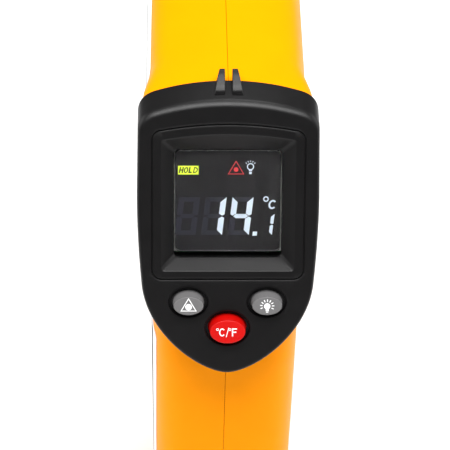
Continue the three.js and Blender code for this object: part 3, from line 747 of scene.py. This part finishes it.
def build_digits():
    x, y = panel_point(0, 3.8)
    big = (5, 9.2, 1.35)
    lit = segment_loops(x + 6.13, y, *big, "bc") + segment_loops(x + 12.5, y, *big, "bcfg")
    lit += segment_loops(x + 20.3, y, 2.7, 5.1, 0.78, "bc")
    point = [(18.35, 3.6), (19.4, 3.6), (19.5, 4.6), (18.45, 4.6)]
    lit.append([panel_point(*p) for p in point])
    lcd_sign("lcd_digits", lit, "digit")
    ghosts = segment_loops(x - 0.15, y, *big, "abcdefg")
    ghosts += segment_loops(x + 6.13, y, *big, "adefg")
    ghosts += segment_loops(x + 12.5, y, *big, "ade")
    lcd_sign("lcd_ghosts", ghosts, "ghost")
    x, y = panel_point(21.95, 10.1)
    ring = (circle(0.68, 28, panel_point(21.5, 12.55)), circle(0.38, 28, panel_point(21.5, 12.55)))
    lcd_sign("lcd_unit", [ring, letter_c(x, y, 2.25, 1.9, 0.42, 0.14)], "digit")


def build_badge():
    """The hold badge: dark slanted letters on a bright field."""
    x, y = panel_point(0.65, 18.5)
    width, height = 4.85, 2.1
    field = [(x, y), (x + width, y), (x + width, y + height), (x, y + height)]
    lcd_sign("hold_badge", [field], "badge")
    low, tall, wide, stroke = y + 0.36, 1.42, 0.98, 0.31
    pitch = 1.12
    h, o, l, d = (x + 0.16 + pitch * k for k in range(4))
    letters = [
        bar((h + stroke / 2, low), (h + stroke / 2, low + tall), stroke),
        bar((h + wide - stroke / 2, low), (h + wide - stroke / 2, low + tall), stroke),
        bar((h + stroke, low + tall / 2), (h + wide - stroke, low + tall / 2), stroke * 0.8),
        bar((l + stroke / 2, low), (l + stroke / 2, low + tall), stroke),
        bar((l + stroke, low + stroke / 2), (l + wide * 0.8, low + stroke / 2), stroke),
    ]
    letters = [slanted(loop, 0.2, low) for loop in letters]
    o_outer = ellipse_loop((o + 0.48, low + tall / 2), (0.5, tall / 2), 24)
    o_inner = ellipse_loop((o + 0.48, low + tall / 2), (0.24, tall / 2 - 0.25), 24)
    d_outer = [(d, low)] + arc((d + 0.3, low + tall / 2), tall / 2, -90, 90, 12) + [(d, low + tall)]
    d_inner = inset(d_outer, 0.25)
    letters.append((slanted(o_outer, 0.2, low), slanted(o_inner, 0.2, low)))
    letters.append((slanted(d_outer, 0.2, low), slanted(d_inner, 0.2, low)))
    lcd_sign("hold_letters", letters, "panel", 0.035)


def build_lcd_signs():
    x, y = panel_point(14.35, 20.2)
    triangle = triangle_sign((x, y), 3.9, 3.3, 0.16)
    ball = circle(0.55, 24, panel_point(14.35, 19.7))
    lcd_sign("lcd_laser_sign", [triangle, ball], "laser_sign")
    centre = panel_point(17.75, 20.4)
    foot = panel_point(0, 19.35)[1]
    outer = bulb_outline(centre, 0.85, 0.38, foot)
    inner = circle(0.6, 28, centre)
    base = bar(panel_point(17.75, 18.6), panel_point(17.75, 19.2), 0.62)
    beams = rays(centre, 1.12, 1.5, (40, 65, 90, 115, 140), 0.17)
    lcd_sign("lcd_lamp_sign", [(outer, inner), base, *beams], "digit")


def build_display():
    pane = window_loop(GLASS_HALF, GLASS_BOTTOM, GLASS_TOP, 0.05, 1.2)
    rows = [on_face(inset(pane, i), d) for i, d in ((0.05, 4.3), (0, 4.25), (0, 3.35), (0.05, 3.3))]
    window = crease(lofted("window_pane", rows), 60)
    dress(window, "clear", replaced=("display_window",))
    panel = inset(pane, 0.02)
    glass = lofted("lcd_panel_glass", [on_face(panel, GLASS_DEPTH), on_face(panel, 6.5)])
    dress(glass, "panel", replaced=("lcd_glass",))
    build_digits()
    build_badge()
    build_lcd_signs()


# ---- Housing ----------------------------------------------------------------------------
def squarish(angle, squareness):
    power = 2 / squareness
    made = []
    for value in (math.cos(angle), math.sin(angle)):
        made.append(math.copysign(abs(value) ** power, value))
    return made


def nose_points(depth):
    """The nose's section, each point in the direction of the shield's point."""
    middle = (NOSE_BOTTOM + NOSE_TOP) / 2
    half_height = (NOSE_TOP - NOSE_BOTTOM) / 2 - depth
    half_width = NOSE_HALF - depth
    made = []
    for x, y in SHIELD:
        rise = (y - FACE_MIDDLE) * math.cos(FACE_TILT)
        power = 5 if rise > 0 else 3.6
        reach = (abs(x / half_width) ** power + abs(rise / half_height) ** power) ** (-1 / power)
        a, b = x * reach, rise * reach
        drop = 2 * (a / half_width) ** 2 * b / half_height if rise > 0 else 0
        made.append((a, middle + b - drop))
    return made


def slimming(z, y, t):
    """How far x has gone from the collar to the nose: the upper sides draw in later."""
    high = min(max((z - 112) / 20, 0), 1)
    late = min(max((y - 23) / 14, 0), 1)
    late *= late * (3 - 2 * late)
    return (1 - (1 - t) ** 3) * (1 - high) + late * high


def head_loops(depth, rear_depth, nose_y, steps=32):
    rear = on_face(inset(SHIELD, COLLAR_INSET + depth), rear_depth, True)
    nose = nose_points(depth)
    loops = []
    for k in range(steps + 1):
        t = k / steps
        loop = []
        for p, (x, z) in zip(rear, nose):
            y = p.y + (nose_y - p.y) * t
            loop.append((p.x + (x - p.x) * slimming(p.z, y, t), y, p.z + (z - p.z) * t))
        loops.append(loop)
    return loops


def smooth_column(heights, values, z):
    """A smooth curve through values at heights (Catmull-Rom)."""
    k = min(max(np.searchsorted(heights, z) - 1, 0), len(heights) - 2)
    span = heights[k + 1] - heights[k]
    t = (z - heights[k]) / span
    slopes = np.gradient(values, heights)
    h00, h10 = 2 * t**3 - 3 * t**2 + 1, t**3 - 2 * t**2 + t
    h01, h11 = 3 * t**2 - 2 * t**3, t**3 - t**2
    return (
        h00 * values[k] + h10 * span * slopes[k] + h01 * values[k + 1] + h11 * span * slopes[k + 1]
    )


def handle_loops(depth, floor, count=120):
    heights, halves, rears, fronts = (np.array(column, float) for column in zip(*HANDLE))
    edge = 1.2
    loops = []
    levels = [floor + edge * (1 - math.cos(math.radians(a))) for a in (0, 30, 60, 90)]
    levels += list(np.linspace(floor + edge + 2, heights[-1], 30))
    for z in levels:
        rise = min(z - floor, edge)
        cut = depth + edge - math.sqrt(edge**2 - (edge - rise) ** 2)
        half = smooth_column(heights, halves, z) - cut
        rear = smooth_column(heights, rears, z)
        front = smooth_column(heights, fronts, z)
        middle, reach = (rear + front) / 2, (front - rear) / 2 - cut
        loop = []
        for i in range(count):
            x, y = squarish(2 * math.pi * i / count, 4.4)
            loop.append((x * half, middle + reach * y, z))
        loops.append(loop)
    return loops


def relax(piece, rounds, weight_at):
    """Evens the mesh out; weight_at gives each vertex's share from its height."""
    mesh = piece.data
    places = np.empty(len(mesh.vertices) * 3)
    mesh.vertices.foreach_get("co", places)
    places = places.reshape(-1, 3)
    ends = np.empty(len(mesh.edges) * 2, int)
    mesh.edges.foreach_get("vertices", ends)
    a, b = ends.reshape(-1, 2).T
    count = np.bincount(ends, minlength=len(places))[:, None]
    weight = weight_at(places / MM)[:, None]
    for _ in range(rounds):
        total = np.empty_like(places)
        for axis in range(3):
            total[:, axis] = np.bincount(a, places[b, axis], len(places))
            total[:, axis] += np.bincount(b, places[a, axis], len(places))
        places += weight * (total / count - places)
    mesh.vertices.foreach_set("co", places.ravel())
    mesh.update()


def build_blank():
    """The outer form of both halves as one solid, with a soft neck under the head."""
    head = lofted("head", head_loops(0, COLLAR_DEPTH - 3, NOSE_Y + 3))
    handle = lofted("blank", handle_loops(0, 0))
    blank = boolean(handle, head, "UNION")
    modifier = blank.modifiers.new("even", "REMESH")
    modifier.mode = "VOXEL"
    modifier.voxel_size = 0.7 * MM
    bake(blank)
    relax(blank, 4, lambda p: np.full(len(p), 0.5))

    def neck(p):
        rising = np.clip((p[:, 2] - 88) / 10, 0, 1)
        falling = np.clip((122 - p[:, 2]) / 12, 0, 1)
        return 0.6 * np.minimum(rising, falling)

    relax(blank, 45, neck)
    return blank


def face_prism(name, outset, top, bottom):
    loops = [on_face(inset(SHIELD, -outset), depth, True) for depth in (top, bottom)]
    return lofted(name, loops)


def trigger_opening():
    half = TRIGGER_HALF + 0.45
    loop = window_loop(half, 70.9, 106.6, 0.02, 1.2, 5)
    return lofted("trigger_opening", [along_y(loop, 18), along_y(loop, 46.5)])


def door_opening(spare):
    """The door's outline from the front, larger by spare, and the room of its hinge."""
    half = DOOR_HALF + spare
    loop = window_loop(half, DOOR_BOTTOM, DOOR_TOP + spare, 0.02, 1.0, 5)
    opening = lofted("opening", [along_y(loop, DOOR_BACK), along_y(loop, 40)])
    knuckle = rod_x("knuckle", 3.9 + spare, -half, half, DOOR_PIN_Y, DOOR_PIN_Z)
    return boolean(opening, knuckle, "UNION")


def label_rows(low, high, rear, front, radius=1.5):
    """Rows of (y, z) places over a label; rear and front are its ends as (low, high)."""
    corner = [(radius * (1 - math.cos(t)), radius * (1 - math.sin(t))) for t in CORNER_ANGLES]
    levels = [(low + rise, cut) for rise, cut in corner]
    levels += [(z, 0) for z in np.linspace(low + radius, high - radius, 30)[1:-1]]
    levels += [(high - rise, cut) for rise, cut in reversed(corner)]
    rows = []
    for z, cut in levels:
        share = (z - low) / (high - low)
        start = rear[0] + (rear[1] - rear[0]) * share + cut
        end = front[0] + (front[1] - front[0]) * share - cut
        rows.append([(y, z) for y in np.linspace(start, end, 30)])
    return rows


def bar_rows(start, end, width, steps=12):
    """Rows of (y, z) places along a straight stroke."""
    a, b = Vector(start), Vector(end)
    along = (b - a).normalized()
    side = Vector((-along.y, along.x)) * width / 2
    places = [a.lerp(b, k / steps) for k in range(steps + 1)]
    return [[tuple(p - side), tuple(p + side)] for p in places]


def drape(name, surface, grids, low, high):
    """Thin sheets that follow the left side of surface, each from rows of places."""
    skin = Skin()
    for rows in grids:
        borders = []
        for lift in (low, high):
            sheet = []
            for row in rows:
                starts = [Vector((-60, y, z)) * MM for y, z in row]
                hits = [surface.ray_cast(start, Vector((1, 0, 0))) for start in starts]
                sheet.append(skin.ring([hit[0] / MM + hit[1] * lift for hit in hits]))
            for first, second in zip(sheet, sheet[1:]):
                skin.strip(first, second)
            ends = [r[-1] for r in sheet[1:-1]], [r[0] for r in sheet[-2:0:-1]]
            borders.append(sheet[0] + ends[0] + sheet[-1][::-1] + ends[1])
        skin.bridge(*borders)
    return skin.object(name)


def build_labels(blank):
    """White labels on the left side: a dark field on the handle, a sight cone on the barrel."""
    surface = BVHTree.FromObject(blank, bpy.context.evaluated_depsgraph_get())
    handle = label_rows(18, 92, (-14.8, -6.3), (8, 16))
    piece = drape("handle_sticker", surface, [handle], *LABEL_LIFTS)
    dress(crease(piece), "label", replaced=("handle_label",))
    field = label_rows(22, 90, (-9.8, -2.6), (5, 13), 0.8)
    piece = drape("handle_sticker_field", surface, [field], *LABEL_PRINT_LIFTS)
    dress(crease(piece), "inner_black")
    barrel = label_rows(114, 141.5, (30, 26), (66, 66))
    piece = drape("barrel_sticker", surface, [barrel], *LABEL_LIFTS)
    dress(crease(piece), "label", replaced=("barrel_label",))
    low, high, tip = (62, 120), (62, 133), (32, 126.5)
    strokes = [bar_rows(tip, low, 0.5), bar_rows(tip, high, 0.5)]
    for share in (0.35, 0.65, 0.95):
        ends = [Vector(tip).lerp(Vector(end), share) for end in (low, high)]
        strokes.append(bar_rows(*ends, 0.7))
    strokes.append(bar_rows((32, 137.6), (63, 137.6), 0.6))
    piece = drape("barrel_sticker_print", surface, strokes, *LABEL_PRINT_LIFTS)
    dress(crease(piece), "grey")


def build_housing():
    blank = build_blank()
    boolean(blank, face_prism("rear_cut", 4, -30, COLLAR_DEPTH))
    boolean(blank, block("nose_cut", (-40, 40), (NOSE_Y, 100), (80, 180)))
    room = lofted("room", handle_loops(WALL, WALL, 60))
    head_room = lofted("head_room", head_loops(WALL, COLLAR_DEPTH - 0.8, NOSE_Y + 1, 12))
    boolean(room, head_room, "UNION")
    door = copy_of(blank, "door_panel")
    boolean(door, copy_of(room, "door_room"))
    boolean(blank, room)
    build_door(door)
    boolean(blank, trigger_opening())
    boolean(blank, door_opening(GAP))
    front = block("front", (-DOOR_HALF - GAP, DOOR_HALF + GAP), (DOOR_PIN_Y, 30), (4.7, 9.5))
    boolean(blank, front)
    for y, z in POSTS:
        boolean(blank, rod_x("seat", 2.4, SCREW_SEAT, 25, y, z))
    for name, low, high in (("left_shell", -30, -SEAM), ("right_shell", SEAM, 30)):
        half = copy_of(blank, name)
        boolean(half, block("side", (low, high), (-60, 100), (-10, 180)), "INTERSECT")
        node = name.replace("shell", "housing")
        dress(crease(half, 38), "yellow", replaced=(node,))
    build_labels(blank)
    bpy.data.objects.remove(blank)


def build_door(door):
    boolean(door, door_opening(0), "INTERSECT")
    dress(crease(door, 38), "yellow", "battery_door", ("battery_door",))


# ---- Nose, lens, trigger and screws -------------------------------------------------------
def nose_loop(depth, y):
    return [(a, y, b) for a, b in nose_points(depth)]


def lens_circle(radius, y, count=96):
    return [(a, y, b) for a, b in circle(radius, count, (0, OPTICS_Z))]


def laser_circle(radius, y, count=40):
    return [(a, y, b) for a, b in circle(radius, count, (0, LASER_Z))]


def build_nose():
    skin = Skin()
    front, back = NOSE_FRONT, NOSE_Y + GAP
    rows = [nose_loop(i, front - d) for i, d in quarter(1.4, 8)]
    rows += [nose_loop(i, back + d) for i, d in reversed(quarter(0.25, 3))]
    rows += [nose_loop(WALL + GAP, back), nose_loop(WALL + GAP, NOSE_Y - 3)]
    rows += [nose_loop(WALL + 1.8, NOSE_Y - 3), nose_loop(WALL + 1.8, NOSE_Y)]
    rim, inner = skin.rows(rows)
    section = [(13.2, 0), (13.0, 0.04), (12.8, 0.15), (9.75, 2.75), (9.5, 2.95), (9.4, 3.2)]
    rows = [lens_circle(r, front - d) for r, d in section]
    rows.append(lens_circle(9.4, NOSE_Y))
    recess, recess_back = skin.rows(rows)
    section = [(1.85, 0), (1.62, 0.06), (1.5, 0.3), (1.5, 2.6), (2.9, 2.6)]
    rows = [laser_circle(r, front - d) for r, d in section]
    rows.append(laser_circle(2.9, NOSE_Y))
    port, port_back = skin.rows(rows)
    skin.fill(rim, recess, port)
    skin.fill(inner, recess_back, port_back)
    nose = crease(skin.object("nose_ring"), 40)
    dress(nose, "black", replaced=("nose_cap",))


def build_lens():
    shares = (0.03, 0.2, 0.4, 0.6, 0.8, 0.94, 1)
    loops = []
    for side, order in ((-1, shares), (1, shares[::-1])):
        for share in order:
            thick = LENS_RIM + LENS_SAG * (1 - share**2)
            loops.append(lens_circle(LENS_RADIUS * share, LENS_Y + side * thick, 64))
    lens = crease(lofted("lens", loops), 60)
    dress(lens, "lens", replaced=("ir_lens",))


def trigger_outline():
    return (
        bezier([(32.4, 108.6), (32.8, 112.6), (39.2, 112.6), (39.8, 108)], 14)
        + [(39.8, 108)]
        + [(43.2, 102.4)]
        + bezier([(43.4, 102), (38.2, 93.5), (37, 84), (41.8, 74)], 40)
        + bezier([(41.8, 74), (41.4, 71.5), (38.6, 71.5)], 8)
        + [(38.6, 71.5), (27.6, 72.6), (27, 99)]
    )


def build_trigger():
    outline = trigger_outline()[::-1]
    if polygon_area(outline) < 0:
        outline = outline[::-1]
    half, edge = TRIGGER_HALF, quarter(TRIGGER_EDGE, 6)
    rows = [along_x(inset(outline, i), -half + d) for i, d in edge]
    rows += [along_x(inset(outline, i), half - d) for i, d in reversed(edge)]
    trigger = crease(lofted("trigger_lever", rows), 50)
    boolean(trigger, rod_x("bore", TRIGGER_BORE, -10, 10, TRIGGER_PIN_Y, TRIGGER_PIN_Z))
    dress(crease(trigger, 50), "black", "trigger", ("trigger",))


def polygon_area(loop):
    total = 0
    for (a, b), (c, d) in zip(loop, loop[1:] + loop[:1]):
        total += a * d - b * c
    return total / 2


def build_screws():
    """Cross-head screws in the right half's counterbores."""
    for number, (y, z) in enumerate(POSTS, 1):
        section = [(1.1, -4.5), (1.1, 11.5), (2.2, 11.5), (2.2, 12.6), (2.0, 12.95), (1.2, 13.1)]
        rows = [along_x(circle(r, 40, (y, z)), x) for r, x in section]
        screw = lofted("screw_%d" % number, rows)
        for turn in (45, 135):
            way = Vector((math.cos(math.radians(turn)), math.sin(math.radians(turn)))) * 1.3
            slot = bar((y - way.x, z - way.y), (y + way.x, z + way.y), 0.42)
            boolean(screw, lofted("slot", [along_x(slot, 12.2), along_x(slot, 14)]))
        node = "housing_screw_%d" % number
        dress(crease(screw, 35), "steel", replaced=(node,))


# ---- CAD nodes that keep their shape --------------------------------------------------------
CAD_LOOKS = {
    "black": ["lcd_holder", "optics_tube", "lens_retainer", "battery_cradle", "trigger_switch",
              "controller_chip", "buzzer", "battery_lead_black"],
    "white": ["backlight_panel"],
    "board": ["main_board", "sensor_board", "trigger_board"],
    "rubber": ["keypad_membrane", "laser_pill", "backlight_pill", "unit_pill", "lens_seal"],
    "red": ["switch_plunger", "battery_lead_red", "laser_lead"],
    "grey": ["sensor_lead"],
    "clear": ["laser_window"],
    "steel": ["ir_sensor", "trigger_pin", "door_pin", "board_screw_left", "board_screw_right"],
    "spring": ["trigger_spring", "bridge_contact", "positive_contact", "negative_contact"],
    "brass": ["laser_module"],
    "cell": ["battery_1", "battery_2"],
}


def dress_cad_nodes():
    for look, names in CAD_LOOKS.items():
        for name in names:
            NODES[name].data.materials.clear()
            NODES[name].data.materials.append(LOOKS[look])


def make_floor():
    made, tree, shader = principled("floor", Roughness=0.6)
    tint = ramp(tree, noise(tree, 3, 2), 0.3, 0.7, (0.86, 0.86, 0.86), (0.9, 0.9, 0.9))
    tree.links.new(tint, shader.inputs["Base Color"])
    size = 1500
    floor = block("floor", (-size, size), (-size, size), (-20, -0.02))
    floor.data.materials.append(made)


make_camera()
make_light()
make_floor()
build_bezel()
build_keys()
build_display()
build_housing()
build_nose()
build_lens()
build_trigger()
build_screws()
dress_cad_nodes()
